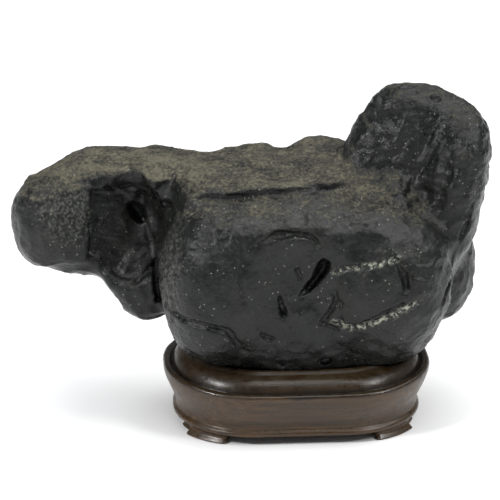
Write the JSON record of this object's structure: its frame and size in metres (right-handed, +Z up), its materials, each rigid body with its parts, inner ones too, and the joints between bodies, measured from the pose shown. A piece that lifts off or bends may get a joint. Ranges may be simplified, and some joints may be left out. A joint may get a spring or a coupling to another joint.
{
  "type": "scholars rock on a carved stand",
  "caption": "Dark water-worn scholar's rock with a level terrace, an overhanging arm and a leaning peak, resting in the fitted seat of a low footed hardwood stand.",
  "frame": {"origin": "middle of the whole object's box in X and Y, on the surface that the stand's feet rest on", "axes": "+Z up, +X along the rock from its arm to its peak, -Y the show side"},
  "size_m": [0.2398, 0.1086, 0.1706],
  "materials": {
    "stone": "near-black water-worn stone with a soft sheen, dry olive-tan dust on what faces up, fine pale veins and specks",
    "stand_wood": "dark stained hardwood, hand-rubbed satin, browner where it is worn"
  },
  "bodies": {
    "root": {"rock": "stone", "stand": "stand_wood"}
  },
  "joints": []
}
